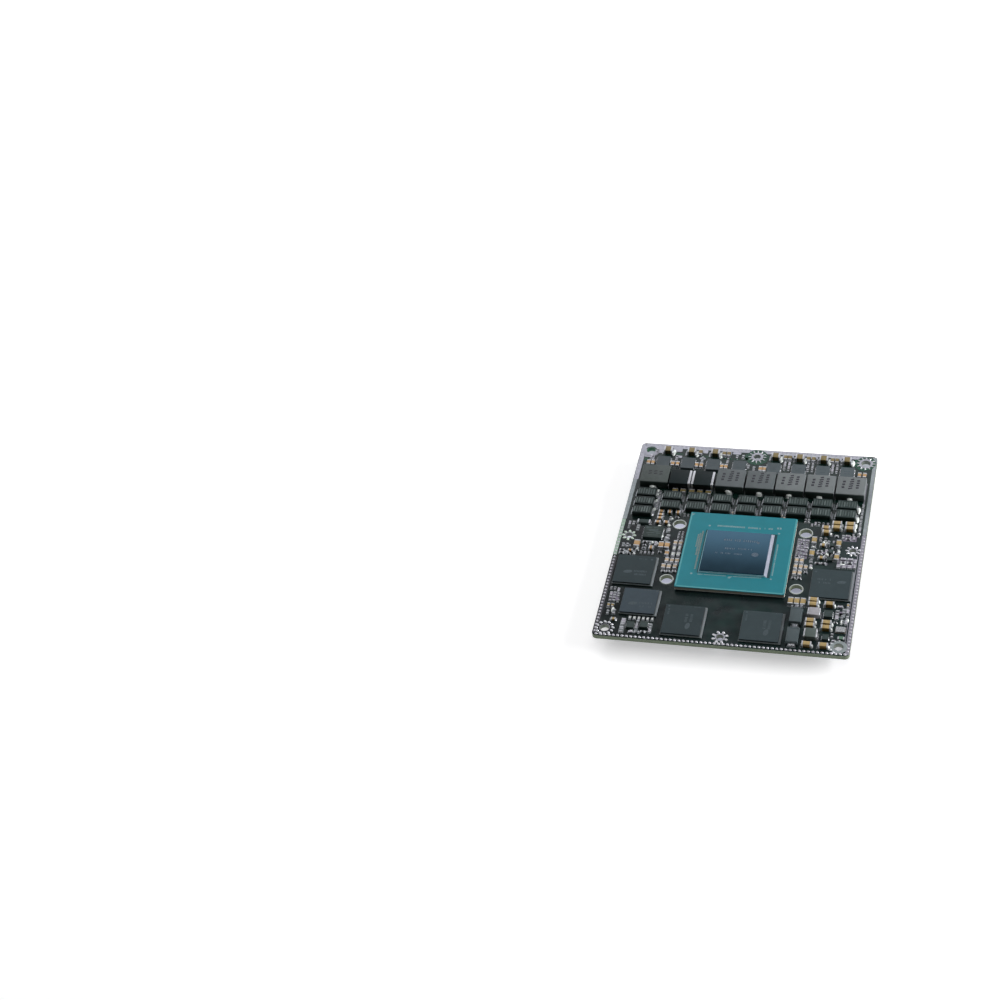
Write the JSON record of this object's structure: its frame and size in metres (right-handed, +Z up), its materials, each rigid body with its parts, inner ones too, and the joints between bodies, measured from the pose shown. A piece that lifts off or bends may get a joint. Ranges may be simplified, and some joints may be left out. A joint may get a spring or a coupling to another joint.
{
  "type": "system on module",
  "caption": "Rectangular computer module: processor with bare die, memory and storage chips and a row of power inductors on a circuit board, with one board-to-board connector underneath.",
  "frame": {"origin": "middle of the board in plan, on the plane of the connector's mating face, which the module stands on", "axes": "+Z up out of the processor side, +Y along the board's longer side towards the power inductors, +X to the right seen from above"},
  "size_m": [0.087, 0.1, 0.0088],
  "materials": {
    "board_solder_mask": "near-black solder mask with tin-plated rim",
    "carrier_laminate": "teal satin laminate",
    "silicon_die": "polished blue-grey silicon",
    "underfill_resin": "satin grey resin",
    "solder": "bright solder",
    "memory_mould": "fine matt dark grey",
    "package_substrate": "pale laminate edge",
    "chip_mould": "fine matt dark grey",
    "inductor_core": "grey pressed powder, satin",
    "small_inductor_core": "black ferrite, satin",
    "filter_inductor_core": "light grey ferrite",
    "polymer_capacitor_mould": "dark grey mould with pale ticks",
    "bulk_capacitor_ceramic": "brown ceramic",
    "capacitor_ceramic": "tan ceramic",
    "resistor_glaze": "black glaze",
    "tin_plating": "bright tin",
    "crystal_lid": "brushed metal lid",
    "crystal_base": "brown ceramic",
    "lamp_lens": "milky green resin",
    "connector_plastic": "black moulded plastic",
    "contact_gold": "gold plated"
  },
  "bodies": {
    "root": {"circuit_board": "board_solder_mask", "processor_carrier": "carrier_laminate", "processor_die": "silicon_die", "processor_underfill": "underfill_resin", "processor_solder_balls": "solder", "memory_chip_left": "memory_mould", "memory_chip_front_left": "memory_mould", "memory_chip_front_right": "memory_mould", "memory_chip_right": "memory_mould", "memory_substrates": "package_substrate", "memory_solder_balls": "solder", "storage_chip": "memory_mould", "storage_substrate": "package_substrate", "storage_solder_balls": "solder", "power_inductor_cores": "inductor_core", "power_inductor_terminals": "tin_plating", "small_inductor_cores": "small_inductor_core", "small_inductor_terminals": "tin_plating", "polymer_capacitors_back_row": "polymer_capacitor_mould", "polymer_capacitors_front_row": "polymer_capacitor_mould", "polymer_capacitors_side": "polymer_capacitor_mould", "polymer_capacitor_terminals": "tin_plating", "power_stage_chips": "chip_mould", "power_stage_lands": "tin_plating", "bulk_capacitor_bodies": "bulk_capacitor_ceramic", "bulk_capacitor_terminals": "tin_plating", "input_capacitor_bodies": "capacitor_ceramic", "input_capacitor_terminals": "tin_plating", "gate_resistor_bodies": "resistor_glaze", "gate_resistor_terminals": "tin_plating", "left_capacitor_bodies": "capacitor_ceramic", "left_capacitor_terminals": "tin_plating", "left_resistor_bodies": "resistor_glaze", "left_resistor_terminals": "tin_plating", "right_capacitor_bodies": "capacitor_ceramic", "right_capacitor_terminals": "tin_plating", "right_resistor_bodies": "resistor_glaze", "right_resistor_terminals": "tin_plating", "corner_capacitor_bodies": "capacitor_ceramic", "corner_capacitor_terminals": "tin_plating", "corner_resistor_bodies": "resistor_glaze", "corner_resistor_terminals": "tin_plating", "filter_inductor_cores": "filter_inductor_core", "filter_inductor_terminals": "tin_plating", "sense_resistor_body": "resistor_glaze", "sense_resistor_terminals": "tin_plating", "controller_chip": "chip_mould", "controller_chip_lands": "tin_plating", "regulator_chips": "chip_mould", "regulator_chip_lands": "tin_plating", "clock_crystal_can": "crystal_lid", "clock_crystal_base": "crystal_base", "status_lamp_body": "lamp_lens", "status_lamp_terminals": "tin_plating", "connector_housing": "connector_plastic", "connector_contacts": "contact_gold", "connector_solder_balls": "solder", "underside_capacitor_bodies": "capacitor_ceramic", "underside_capacitor_terminals": "tin_plating"}
  },
  "joints": []
}
